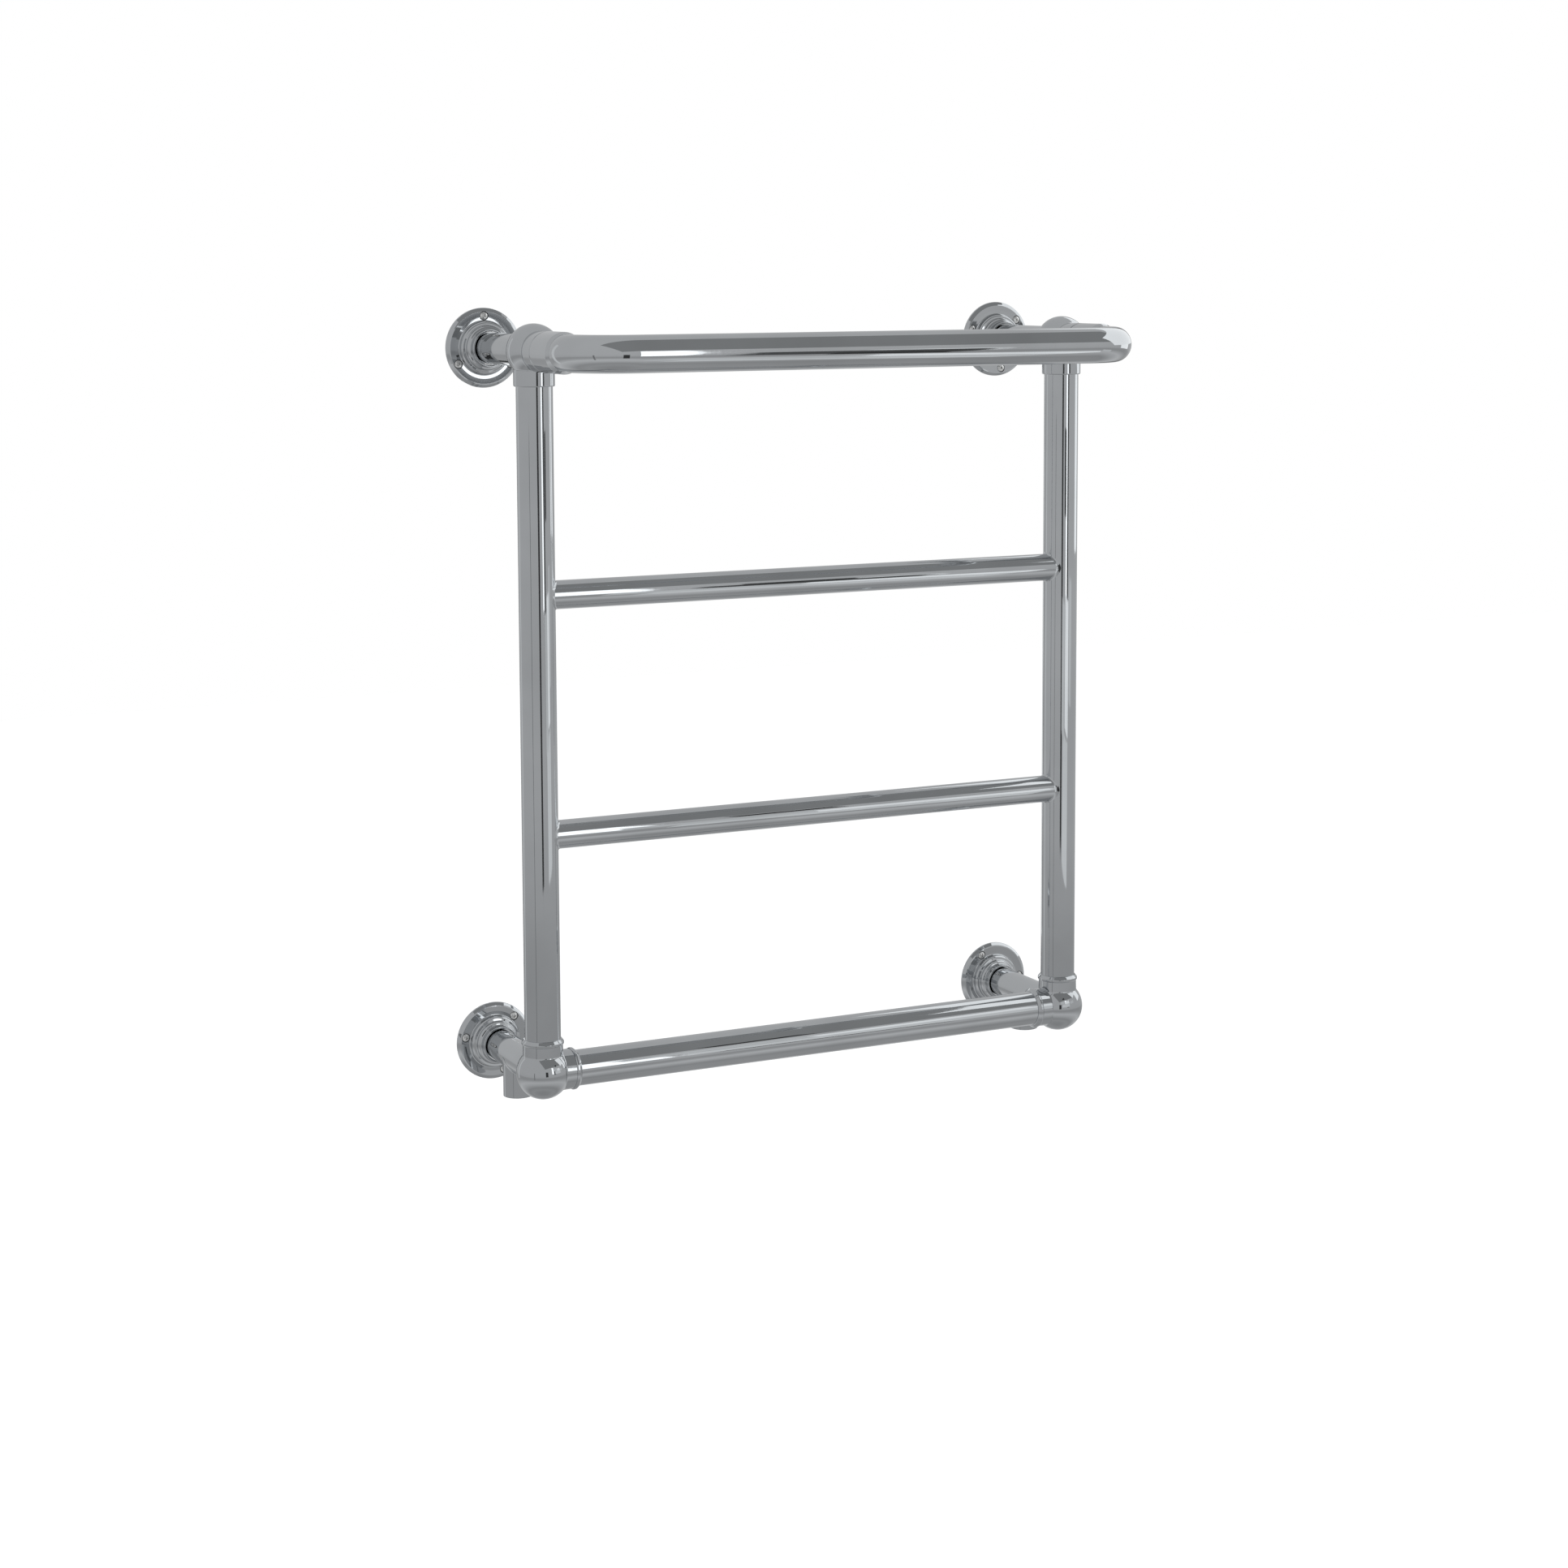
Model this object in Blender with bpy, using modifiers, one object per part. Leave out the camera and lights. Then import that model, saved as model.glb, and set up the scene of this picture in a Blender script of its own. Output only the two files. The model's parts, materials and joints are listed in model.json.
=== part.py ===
"""Wall-hung towel warmer of the traditional ball-jointed kind.

Chromed brass tubes are brazed into ball-shaped castings: two posts, two crossbars, a bottom rail and a
U-shaped top rail. Four arms stand the frame off the wall, each in a round flange held by three screws.
The two lower arms are tees, whose downward ports take the heating pipes.

Metres, +Z up. The wall is the plane y = 0, the room is on its -Y side, and the origin lies on the wall
midway between the four flanges.
"""

import math

import bmesh
import bpy
from mathutils import Matrix, Vector

MM = 0.001

# Driving dimensions of the frame.
POST_SPACING = 630 * MM
FRAME_HEIGHT = 755 * MM
WALL_TO_POST = 147 * MM
TOP_RAIL_REACH = 145 * MM
BEND_RADIUS = 52 * MM
TUBE_RADIUS = 19.05 * MM
TUBE_WALL = 1.5 * MM
CROSSBAR_RADIUS = 15 * MM
CROSSBAR_WALL = 1.2 * MM
CROSSBAR_LEVELS = {"lower_crossbar": 1 / 3, "upper_crossbar": 2 / 3}

# Ball castings: each socket is a collar that reaches this far from the ball's centre.
BALL_RADIUS = 28.5 * MM
COLLAR_RADIUS = 21.4 * MM
COLLAR_REACH = 36 * MM
FRONT_COLLAR_REACH = 41 * MM
COLLAR_CHAMFER = 1 * MM
SOCKET_FLOOR = 20 * MM
WATERWAY_RADIUS = 14 * MM
ARM_SEAT_DEPTH = 18 * MM
FERRULE_LENGTH = 48 * MM

# Wall arms, and the tee on each lower one.
ARM_RADIUS = 17.5 * MM
ARM_BORE_RADIUS = 14 * MM
ARM_END_WALL = 8 * MM
ARM_TO_WALL = 1 * MM
PORT_FROM_WALL = 73 * MM
PORT_REACH = 43 * MM
PORT_RADIUS = 16.4 * MM
PORT_BORE_RADIUS = 10 * MM
PORT_BORE_DEPTH = 18 * MM
PORT_WATERWAY_RADIUS = 8 * MM
SEAL_THICKNESS = 1.5 * MM
STUD_RADIUS = 5 * MM
STUD_LENGTH = 22 * MM

# Wall flanges and their fasteners.
FLANGE_RADIUS = 42.5 * MM
SCREW_CIRCLE_RADIUS = 34 * MM
SCREW_HEAD_RADIUS = 4.4 * MM
SCREW_SHANK_RADIUS = 2.1 * MM
GRUB_RADIUS = 2 * MM
NECK_RADIUS = 20.6 * MM
NECK_LENGTH = 24.5 * MM
GRUB_FROM_WALL = 20 * MM
# Turn of each flange's first screw from the right-hand side, in degrees, anticlockwise seen from the room.
SCREW_TURN = {"top_left": 90, "top_right": 40, "bottom_left": 48, "bottom_right": 0}

# Air vent in the outer side of the right upper ball, turned back this many degrees from the wall's way.
VENT_ANGLE = 65
VENT_SEAT = 27 * MM
VENT_HEAD_RADIUS = 7.5 * MM
VENT_HEAD_LENGTH = 6 * MM
VENT_SHANK_RADIUS = 5 * MM
VENT_SPINDLE_RADIUS = 2.3 * MM
VENT_RUNNING_CLEARANCE = 0.08 * MM
VENT_SQUARE = 5 * MM

GAP = 0.3 * MM
TUBE_SIDES = 24
FLANGE_SIDES = 32
SCREW_SIDES = 12

HALF_WIDTH = POST_SPACING / 2
HALF_HEIGHT = FRAME_HEIGHT / 2
POST_Y = -WALL_TO_POST
RIGHT = Vector((1, 0, 0))
LEFT = Vector((-1, 0, 0))
FORWARD = Vector((0, -1, 0))
WALLWARD = Vector((0, 1, 0))
UP = Vector((0, 0, 1))
DOWN = Vector((0, 0, -1))
VENT_WAY = Vector((math.sin(math.radians(VENT_ANGLE)), math.cos(math.radians(VENT_ANGLE)), 0))
SIDES = {"left": -1, "right": 1}
ROWS = {"top": 1, "bottom": -1}

COLOURS = {
    "chrome": ((0.60, 0.61, 0.62), 0.08, 1.0),
    "screw_steel": ((0.66, 0.66, 0.65), 0.25, 1.0),
    "vent_brass": ((0.72, 0.55, 0.28), 0.30, 1.0),
    "seal_rubber": ((0.03, 0.03, 0.03), 0.70, 0.0),
}


def clear_scene():
    for obj in list(bpy.data.objects):
        bpy.data.objects.remove(obj)


def new_collection(name):
    collection = bpy.data.collections.new(name)
    bpy.context.scene.collection.children.link(collection)
    return collection


def new_material(name):
    colour, roughness, metallic = COLOURS[name]
    material = bpy.data.materials.new(name)
    material.use_nodes = True
    shader = material.node_tree.nodes["Principled BSDF"]
    shader.inputs["Base Color"].default_value = (*colour, 1)
    shader.inputs["Roughness"].default_value = roughness
    shader.inputs["Metallic"].default_value = metallic
    return material


clear_scene()
PARTS = new_collection("towel_warmer")
CUTTERS = new_collection("cutters")
MATERIALS = {name: new_material(name) for name in COLOURS}
FRAME_EMPTY = bpy.data.objects.new("wall_centre", None)
PARTS.objects.link(FRAME_EMPTY)


def placed(position, direction):
    """The matrix that puts a shape at a position with its own +Z along a direction."""
    turn = UP.rotation_difference(direction).to_matrix().to_4x4()
    return Matrix.Translation(position) @ turn


def add_part(name, mesh, matrix, finish="chrome"):
    obj = bpy.data.objects.new(name, mesh)
    obj.data.materials.append(MATERIALS[finish])
    obj.parent = FRAME_EMPTY
    obj.matrix_world = matrix
    PARTS.objects.link(obj)
    return obj


def add_cutter(name, mesh, matrix):
    obj = bpy.data.objects.new(name, mesh)
    obj.matrix_world = matrix
    obj.hide_render = True
    obj.display_type = "WIRE"
    CUTTERS.objects.link(obj)
    return obj


def outline_mesh(name, outline, ring):
    """Joined edges through (radius, height) points in the XZ plane, closed on themselves for a ring."""
    points = [(radius, 0, height) for radius, height in outline]
    edges = [(i, i + 1) for i in range(len(points) - 1)]
    if ring:
        edges.append((len(points) - 1, 0))
    mesh = bpy.data.meshes.new(name)
    mesh.from_pydata(points, edges, [])
    return mesh


def turn_about_z(obj, sides):
    screw = obj.modifiers.new("turn", "SCREW")
    screw.steps = screw.render_steps = sides
    screw.use_merge_vertices = True
    screw.merge_threshold = 0.00001
    screw.use_smooth_shade = True
    return obj


def turned_part(name, outline, matrix, finish="chrome", ring=False, sides=TUBE_SIDES):
    """A turned piece. Its outline runs down the outer side, from the top to the bottom."""
    return turn_about_z(add_part(name, outline_mesh(name, outline, ring), matrix, finish), sides)


def turned_cutter(name, outline, matrix, sides=TUBE_SIDES):
    return turn_about_z(add_cutter(name, outline_mesh(name, outline, False), matrix), sides)


def rod_outline(radius, bottom, top):
    return [(0, top), (radius, top), (radius, bottom), (0, bottom)]


def ring_outline(inner, outer, bottom, top):
    return [(inner, bottom), (inner, top), (outer, top), (outer, bottom)]


def stepped_bore(steps, start):
    """Outline of a cutter along +Z from a start height, through (radius, end height) steps."""
    outline = [(0, start)]
    bottom = start
    for radius, end in steps:
        outline += [(radius, bottom), (radius, end)]
        bottom = end
    outline.append((0, bottom))
    return outline[::-1]


def combine(obj, other, operation):
    boolean = obj.modifiers.new(other.name, "BOOLEAN")
    boolean.operation = operation
    boolean.object = other


def ball_centre(row, side):
    return Vector((SIDES[side] * HALF_WIDTH, POST_Y, ROWS[row] * HALF_HEIGHT))


def arc_points(radius, start, end, count):
    """Points on a circle about the origin, from one angle to another in degrees."""
    angles = [math.radians(start + (end - start) * i / count) for i in range(count + 1)]
    return [(radius * math.cos(angle), radius * math.sin(angle)) for angle in angles]


def collar_outline(reach, bottom):
    """Outer side of a socket collar, with its chamfered end, from the top down."""
    return [
        (COLLAR_RADIUS - COLLAR_CHAMFER, reach),
        (COLLAR_RADIUS, reach - COLLAR_CHAMFER),
        (COLLAR_RADIUS, bottom),
    ]


def ball_joint(row, side):
    """A casting: a ball with a collar for the post, one for its rail, and a seat for the wall arm."""
    name = f"{row}_{side}_ball_joint"
    centre = ball_centre(row, side)
    if row == "top":
        post_way, rail_way, rail_reach = DOWN, FORWARD, FRONT_COLLAR_REACH
    else:
        post_way, rail_way, rail_reach = UP, -SIDES[side] * RIGHT, COLLAR_REACH
    meeting = math.degrees(math.acos(COLLAR_RADIUS / BALL_RADIUS))
    outline = [(0, COLLAR_REACH)] + collar_outline(COLLAR_REACH, BALL_RADIUS)
    outline += arc_points(BALL_RADIUS, meeting, -90, 11)[:-1] + [(0, -BALL_RADIUS)]
    casting = turned_part(name, outline, placed(centre, post_way))
    collar = [(0, rail_reach)] + collar_outline(rail_reach, 0) + [(0, 0)]
    combine(casting, turned_cutter(f"{name}_rail_collar", collar, placed(centre, rail_way)), "UNION")
    socket_radius = TUBE_RADIUS + GAP
    past_end = 5 * MM
    post_steps = [(WATERWAY_RADIUS, SOCKET_FLOOR), (socket_radius, COLLAR_REACH + past_end)]
    rail_steps = [(WATERWAY_RADIUS, SOCKET_FLOOR), (socket_radius, rail_reach + past_end)]
    passage = STUD_RADIUS + GAP if row == "top" else PORT_WATERWAY_RADIUS
    arm_steps = [(passage, ARM_SEAT_DEPTH), (ARM_RADIUS + GAP, BALL_RADIUS + past_end)]
    bores = {"post": (post_way, post_steps), "rail": (rail_way, rail_steps), "arm": (WALLWARD, arm_steps)}
    if (row, side) == ("top", "right"):
        seat = [(VENT_SHANK_RADIUS + GAP, VENT_SEAT), (VENT_HEAD_RADIUS + GAP, BALL_RADIUS + past_end)]
        bores["vent"] = (VENT_WAY, seat)
    start = {"post": -WATERWAY_RADIUS, "rail": -2 * MM, "arm": 0, "vent": 0}
    for bore, (way, steps) in bores.items():
        cutter = turned_cutter(f"{name}_{bore}_bore", stepped_bore(steps, start[bore]), placed(centre, way))
        combine(casting, cutter, "DIFFERENCE")


def tube(name, start, end, radius, wall):
    """A straight tube between two points on its axis."""
    outline = ring_outline(radius - wall, radius, 0, (end - start).length)
    return turned_part(name, outline, placed(start, (end - start).normalized()), ring=True)


def posts_and_crossbars():
    levels = {name: (part - 0.5) * FRAME_HEIGHT for name, part in CROSSBAR_LEVELS.items()}
    end_z = HALF_HEIGHT - SOCKET_FLOOR - GAP
    posts = []
    clearances = []
    for side, sign in SIDES.items():
        foot = Vector((sign * HALF_WIDTH, POST_Y, -end_z))
        head = Vector((sign * HALF_WIDTH, POST_Y, end_z))
        posts.append(tube(f"{side}_post", foot, head, TUBE_RADIUS, TUBE_WALL))
        rod = rod_outline(TUBE_RADIUS + GAP, 0, 2 * end_z)
        clearances.append(turned_cutter(f"{side}_post_clearance", rod, placed(foot, UP)))
    for name, level in levels.items():
        left_end = Vector((-HALF_WIDTH, POST_Y, level))
        right_end = Vector((HALF_WIDTH, POST_Y, level))
        crossbar = tube(name, left_end, right_end, CROSSBAR_RADIUS, CROSSBAR_WALL)
        waterway = rod_outline(CROSSBAR_RADIUS - 2 * CROSSBAR_WALL, 0, POST_SPACING)
        cutter = turned_cutter(f"{name}_waterway", waterway, placed(left_end, RIGHT))
        for clearance in clearances:
            combine(crossbar, clearance, "DIFFERENCE")
        for post in posts:
            combine(post, cutter, "DIFFERENCE")


def bottom_rail():
    end_x = HALF_WIDTH - SOCKET_FLOOR - GAP
    left_end = Vector((-end_x, POST_Y, -HALF_HEIGHT))
    right_end = Vector((end_x, POST_Y, -HALF_HEIGHT))
    tube("bottom_rail", left_end, right_end, TUBE_RADIUS, TUBE_WALL)


def top_rail_route(overrun):
    """Centre line of the U: out from the left ball, across the front, and back to the right ball."""
    end_y = POST_Y - SOCKET_FLOOR - GAP + overrun
    front_y = POST_Y - TOP_RAIL_REACH
    bend_x = HALF_WIDTH - BEND_RADIUS
    bend_y = front_y + BEND_RADIUS
    right_half = [(bend_x + x, bend_y + y) for x, y in arc_points(BEND_RADIUS, -90, 0, 8)]
    right_half.append((HALF_WIDTH, end_y))
    left_half = [(-x, y) for x, y in reversed(right_half)]
    return [Vector((x, y, HALF_HEIGHT)) for x, y in left_half + right_half]


def swept_rod(name, route, radius):
    """A mesh rod of round section along a route, made from a bevelled curve."""
    curve = bpy.data.curves.new(name, "CURVE")
    curve.dimensions = "3D"
    curve.bevel_depth = radius
    curve.bevel_resolution = TUBE_SIDES // 4 - 1
    curve.use_fill_caps = True
    spline = curve.splines.new("POLY")
    spline.points.add(len(route) - 1)
    for point, place in zip(spline.points, route):
        point.co = (*place, 1)
    guide = bpy.data.objects.new(f"{name}_guide", curve)
    bpy.context.scene.collection.objects.link(guide)
    evaluated = guide.evaluated_get(bpy.context.evaluated_depsgraph_get())
    mesh = bpy.data.meshes.new_from_object(evaluated)
    bpy.data.objects.remove(guide)
    weld_and_shade(mesh)
    return mesh


def weld_and_shade(mesh):
    """Joins a swept rod's loose caps to its sides, and shades it smooth."""
    cage = bmesh.new()
    cage.from_mesh(mesh)
    bmesh.ops.remove_doubles(cage, verts=cage.verts, dist=0.00001)
    bmesh.ops.recalc_face_normals(cage, faces=cage.faces)
    cage.to_mesh(mesh)
    cage.free()
    mesh.shade_smooth()
    mesh.set_sharp_from_angle(angle=math.radians(40))


def top_rail():
    rail = add_part("top_rail", swept_rod("top_rail", top_rail_route(0), TUBE_RADIUS), Matrix())
    bore_mesh = swept_rod("top_rail_bore", top_rail_route(5 * MM), TUBE_RADIUS - TUBE_WALL)
    combine(rail, add_cutter("top_rail_bore", bore_mesh, Matrix()), "DIFFERENCE")
    for side in SIDES:
        start = ball_centre("top", side) + FORWARD * (FRONT_COLLAR_REACH + GAP)
        outline = ring_outline(TUBE_RADIUS + GAP, COLLAR_RADIUS, 0, FERRULE_LENGTH)
        turned_part(f"top_{side}_rail_ferrule", outline, placed(start, FORWARD), ring=True)


def upper_arm(side):
    """A plain stand-off, held to its ball by a stud through the arm's end wall."""
    centre = ball_centre("top", side)
    start = centre + WALLWARD * (ARM_SEAT_DEPTH + GAP)
    length = WALL_TO_POST - ARM_SEAT_DEPTH - GAP - ARM_TO_WALL
    stud_hole = STUD_RADIUS + GAP
    outline = [
        (stud_hole, 0),
        (stud_hole, ARM_END_WALL),
        (ARM_BORE_RADIUS, ARM_END_WALL),
        (ARM_BORE_RADIUS, length),
        (ARM_RADIUS, length),
        (ARM_RADIUS, 0),
    ]
    turned_part(f"top_{side}_wall_arm", outline, placed(start, WALLWARD), ring=True)
    stud_start = centre + WALLWARD * (ARM_SEAT_DEPTH + ARM_END_WALL - STUD_LENGTH)
    stud = rod_outline(STUD_RADIUS, 0, STUD_LENGTH)
    turned_part(f"top_{side}_arm_stud", stud, placed(stud_start, WALLWARD), "screw_steel", sides=SCREW_SIDES)


def lower_arm(side):
    """A tee: water comes up its port and through the seal into the ball. Its wall end is a blind stand-off."""
    name = f"bottom_{side}_valve_arm"
    centre = ball_centre("bottom", side)
    seal_start = ARM_SEAT_DEPTH + GAP
    front = seal_start + SEAL_THICKNESS + GAP
    back = WALL_TO_POST - ARM_TO_WALL
    port_axis = WALL_TO_POST - PORT_FROM_WALL
    arm = turned_part(name, rod_outline(ARM_RADIUS, front, back), placed(centre, WALLWARD))
    port_top = centre + WALLWARD * port_axis
    leg = turned_cutter(f"{name}_leg", rod_outline(PORT_RADIUS, 0, PORT_REACH), placed(port_top, DOWN))
    combine(arm, leg, "UNION")
    mouth = PORT_REACH - PORT_BORE_DEPTH
    port = stepped_bore([(PORT_WATERWAY_RADIUS, mouth), (PORT_BORE_RADIUS, PORT_REACH + 5 * MM)], 0)
    combine(arm, turned_cutter(f"{name}_port", port, placed(port_top, DOWN)), "DIFFERENCE")
    inlet = rod_outline(PORT_WATERWAY_RADIUS, 0, port_axis + PORT_WATERWAY_RADIUS / 2)
    combine(arm, turned_cutter(f"{name}_inlet", inlet, placed(centre, WALLWARD)), "DIFFERENCE")
    blind_start = port_axis + ARM_RADIUS + ARM_END_WALL
    blind = rod_outline(ARM_BORE_RADIUS, blind_start, back + 5 * MM)
    combine(arm, turned_cutter(f"{name}_blind_bore", blind, placed(centre, WALLWARD)), "DIFFERENCE")
    seal = ring_outline(PORT_WATERWAY_RADIUS, ARM_BORE_RADIUS, 0, SEAL_THICKNESS)
    seal_place = placed(centre + WALLWARD * seal_start, WALLWARD)
    turned_part(f"bottom_{side}_arm_seal", seal, seal_place, "seal_rubber", ring=True)


def flange_outline():
    """Section from the bore up its inside, then down the stepped neck, the hub and the dished face."""
    bore = ARM_RADIUS + GAP
    rim = FLANGE_RADIUS
    steps = [
        (bore, 0),
        (bore, NECK_LENGTH - 1 * MM),
        (bore + 1 * MM, NECK_LENGTH),
        (NECK_RADIUS - 0.7 * MM, NECK_LENGTH),
        (NECK_RADIUS, NECK_LENGTH - 0.7 * MM),
        (NECK_RADIUS, 16 * MM),
        (NECK_RADIUS + 2.6 * MM, 15.2 * MM),
        (NECK_RADIUS + 3 * MM, 11.2 * MM),
        (NECK_RADIUS + 6.4 * MM, 10.4 * MM),
        (NECK_RADIUS + 7.6 * MM, 8.6 * MM),
        (NECK_RADIUS + 7.6 * MM, 4 * MM),
        (SCREW_CIRCLE_RADIUS, 3.3 * MM),
        (rim - 4.2 * MM, 4.6 * MM),
        (rim, 1.6 * MM),
        (rim, 0),
    ]
    return steps


def flange_and_screws(row, side):
    name = f"{row}_{side}_flange"
    place = placed(Vector((SIDES[side] * HALF_WIDTH, 0, ROWS[row] * HALF_HEIGHT)), FORWARD)
    flange = turned_part(name, flange_outline(), place, ring=True, sides=FLANGE_SIDES)
    sunk = 0.5 * MM
    hole = [(SCREW_SHANK_RADIUS + sunk, 1 * MM), (SCREW_HEAD_RADIUS + sunk, 3.3 * MM)]
    hole_outline = [(0, -2 * MM), (hole[0][0], -2 * MM), *hole, (hole[1][0], 8 * MM), (0, 8 * MM)]
    for number in range(3):
        angle = math.radians(SCREW_TURN[f"{row}_{side}"] + 120 * number)
        offset = SCREW_CIRCLE_RADIUS * Vector((math.cos(angle), 0, math.sin(angle)))
        spot = Matrix.Translation(offset) @ place
        cutter = turned_cutter(f"{name}_hole_{number + 1}", hole_outline[::-1], spot, SCREW_SIDES)
        combine(flange, cutter, "DIFFERENCE")
        raised_head_screw(f"{name}_screw_{number + 1}", spot @ Matrix.Rotation(angle, 4, "Z"))
    grub_spot = placed(place.translation + FORWARD * GRUB_FROM_WALL, DOWN)
    grub_hole = rod_outline(GRUB_RADIUS + GAP, ARM_RADIUS - MM, NECK_RADIUS + MM)
    cutter = turned_cutter(f"{name}_grub_hole", grub_hole, grub_spot, SCREW_SIDES)
    combine(flange, cutter, "DIFFERENCE")
    grub_screw(f"{name}_grub_screw", grub_spot)


def recess(obj, size, bottom, top):
    """Cuts two crossed slots into a screw's head."""
    for turn, label in ((0, "slot"), (90, "cross_slot")):
        bpy.ops.mesh.primitive_cube_add(size=1)
        box = bpy.context.object
        mesh = box.data
        bpy.data.objects.remove(box)
        mesh.transform(Matrix.Diagonal((*size, top - bottom, 1)))
        lift = Matrix.Translation((0, 0, (bottom + top) / 2))
        spin = Matrix.Rotation(math.radians(turn), 4, "Z")
        cutter = add_cutter(f"{obj.name}_{label}", mesh, obj.matrix_world @ spin @ lift)
        combine(obj, cutter, "DIFFERENCE")


def raised_head_screw(name, place):
    """A countersunk screw with a domed head. Its shank stops at the wall's face."""
    outline = [
        (0, 5.4 * MM),
        (0.55 * SCREW_HEAD_RADIUS, 5.1 * MM),
        (0.9 * SCREW_HEAD_RADIUS, 4.3 * MM),
        (SCREW_HEAD_RADIUS, 3.6 * MM),
        (SCREW_SHANK_RADIUS, 1.2 * MM),
        (SCREW_SHANK_RADIUS, GAP),
        (0, GAP),
    ]
    screw = turned_part(name, outline, place, "screw_steel", sides=SCREW_SIDES)
    recess(screw, (4.6 * MM, 1 * MM), 3.6 * MM, 7 * MM)


def grub_screw(name, place):
    bottom = ARM_RADIUS + 2 * GAP
    top = NECK_RADIUS - GAP
    screw = turned_part(name, rod_outline(GRUB_RADIUS, bottom, top), place, "screw_steel", sides=SCREW_SIDES)
    hexagon = rod_outline(GRUB_RADIUS / 2, top - 1.2 * MM, top + MM)
    combine(screw, turned_cutter(f"{name}_key", hexagon, place, 6), "DIFFERENCE")


def air_vent():
    """A screwed plug in the ball, and the square-ended spindle that a bleed key turns in it."""
    place = placed(ball_centre("top", "right"), VENT_WAY)
    bore = VENT_SPINDLE_RADIUS + VENT_RUNNING_CLEARANCE
    shank_start = WATERWAY_RADIUS + 2 * MM
    head_start = VENT_SEAT + GAP
    head_end = head_start + VENT_HEAD_LENGTH
    outline = [
        (bore, shank_start),
        (bore, head_end),
        (VENT_HEAD_RADIUS - MM, head_end),
        (VENT_HEAD_RADIUS, head_end - MM),
        (VENT_HEAD_RADIUS, head_start),
        (VENT_SHANK_RADIUS, head_start),
        (VENT_SHANK_RADIUS, shank_start),
    ]
    turned_part("air_vent_body", outline, place, ring=True, sides=TUBE_SIDES)
    spindle = rod_outline(VENT_SPINDLE_RADIUS, shank_start + MM, head_end + GAP)
    spindle = turned_part("air_vent_spindle", spindle, place, "vent_brass")
    square_end = 6 * MM
    half_diagonal = VENT_SQUARE / math.sqrt(2)
    square = rod_outline(half_diagonal, head_end + GAP / 2, head_end + square_end)
    combine(spindle, turned_cutter("air_vent_square", square, place, 4), "UNION")


for row_name in ROWS:
    for side_name in SIDES:
        ball_joint(row_name, side_name)
        flange_and_screws(row_name, side_name)
for side_name in SIDES:
    upper_arm(side_name)
    lower_arm(side_name)
posts_and_crossbars()
bottom_rail()
top_rail()
air_vent()
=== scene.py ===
"""Looks of the towel warmer rack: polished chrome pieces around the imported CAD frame.

World space is in metres with +Z up, the wall at y = 0 and the front towards -Y.
"""

import json
import math

import bmesh
import bpy
from mathutils import Matrix, Vector


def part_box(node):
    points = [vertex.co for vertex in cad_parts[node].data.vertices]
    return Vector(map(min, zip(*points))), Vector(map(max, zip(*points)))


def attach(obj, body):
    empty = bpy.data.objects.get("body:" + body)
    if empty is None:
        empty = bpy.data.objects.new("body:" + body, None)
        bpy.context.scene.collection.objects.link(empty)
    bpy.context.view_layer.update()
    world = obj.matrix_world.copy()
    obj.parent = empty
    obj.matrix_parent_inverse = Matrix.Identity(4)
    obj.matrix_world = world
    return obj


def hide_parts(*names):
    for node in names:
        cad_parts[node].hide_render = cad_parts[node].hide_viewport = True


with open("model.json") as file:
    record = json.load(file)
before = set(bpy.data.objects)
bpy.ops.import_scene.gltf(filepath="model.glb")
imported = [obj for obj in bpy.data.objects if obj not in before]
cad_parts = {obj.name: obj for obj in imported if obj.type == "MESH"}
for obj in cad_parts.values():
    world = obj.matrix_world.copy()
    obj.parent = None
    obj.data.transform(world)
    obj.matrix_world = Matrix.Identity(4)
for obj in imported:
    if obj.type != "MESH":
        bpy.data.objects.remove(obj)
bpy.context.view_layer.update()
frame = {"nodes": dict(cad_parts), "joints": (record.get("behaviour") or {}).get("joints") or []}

MM = 0.001
RACK = "rack"
RIGHT = Vector((1, 0, 0))
FORWARD = Vector((0, -1, 0))
WALLWARD = Vector((0, 1, 0))
UP = Vector((0, 0, 1))
DOWN = Vector((0, 0, -1))
SIDES = {"left": -1, "right": 1}
ROWS = {"top": 1, "bottom": -1}


def middle(node):
    low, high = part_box(node)
    return (low + high) / 2


def size(node):
    low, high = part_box(node)
    return high - low


# Sizes that the CAD frame holds.
HALF_WIDTH = middle("right_post").x
POST_Y = middle("right_post").y
HALF_HEIGHT = middle("top_rail").z
TUBE_RADIUS = size("bottom_rail").z / 2
CROSSBAR_RADIUS = size("upper_crossbar").z / 2
FRONT_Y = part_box("top_rail")[0].y + TUBE_RADIUS
FLANGE_RADIUS = size("top_left_flange").x / 2
ARM_RADIUS = size("top_left_wall_arm").x / 2
ARM_END_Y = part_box("top_left_wall_arm")[1].y
BALL_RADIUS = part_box("bottom_right_ball_joint")[1].x - HALF_WIDTH
FRONT_COLLAR_END = POST_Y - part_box("top_left_ball_joint")[0].y
FERRULE_END = POST_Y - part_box("top_left_rail_ferrule")[0].y
COLLAR_END = HALF_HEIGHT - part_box("top_left_ball_joint")[0].z
PORT_END = -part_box("bottom_left_valve_arm")[0].z - HALF_HEIGHT

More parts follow.
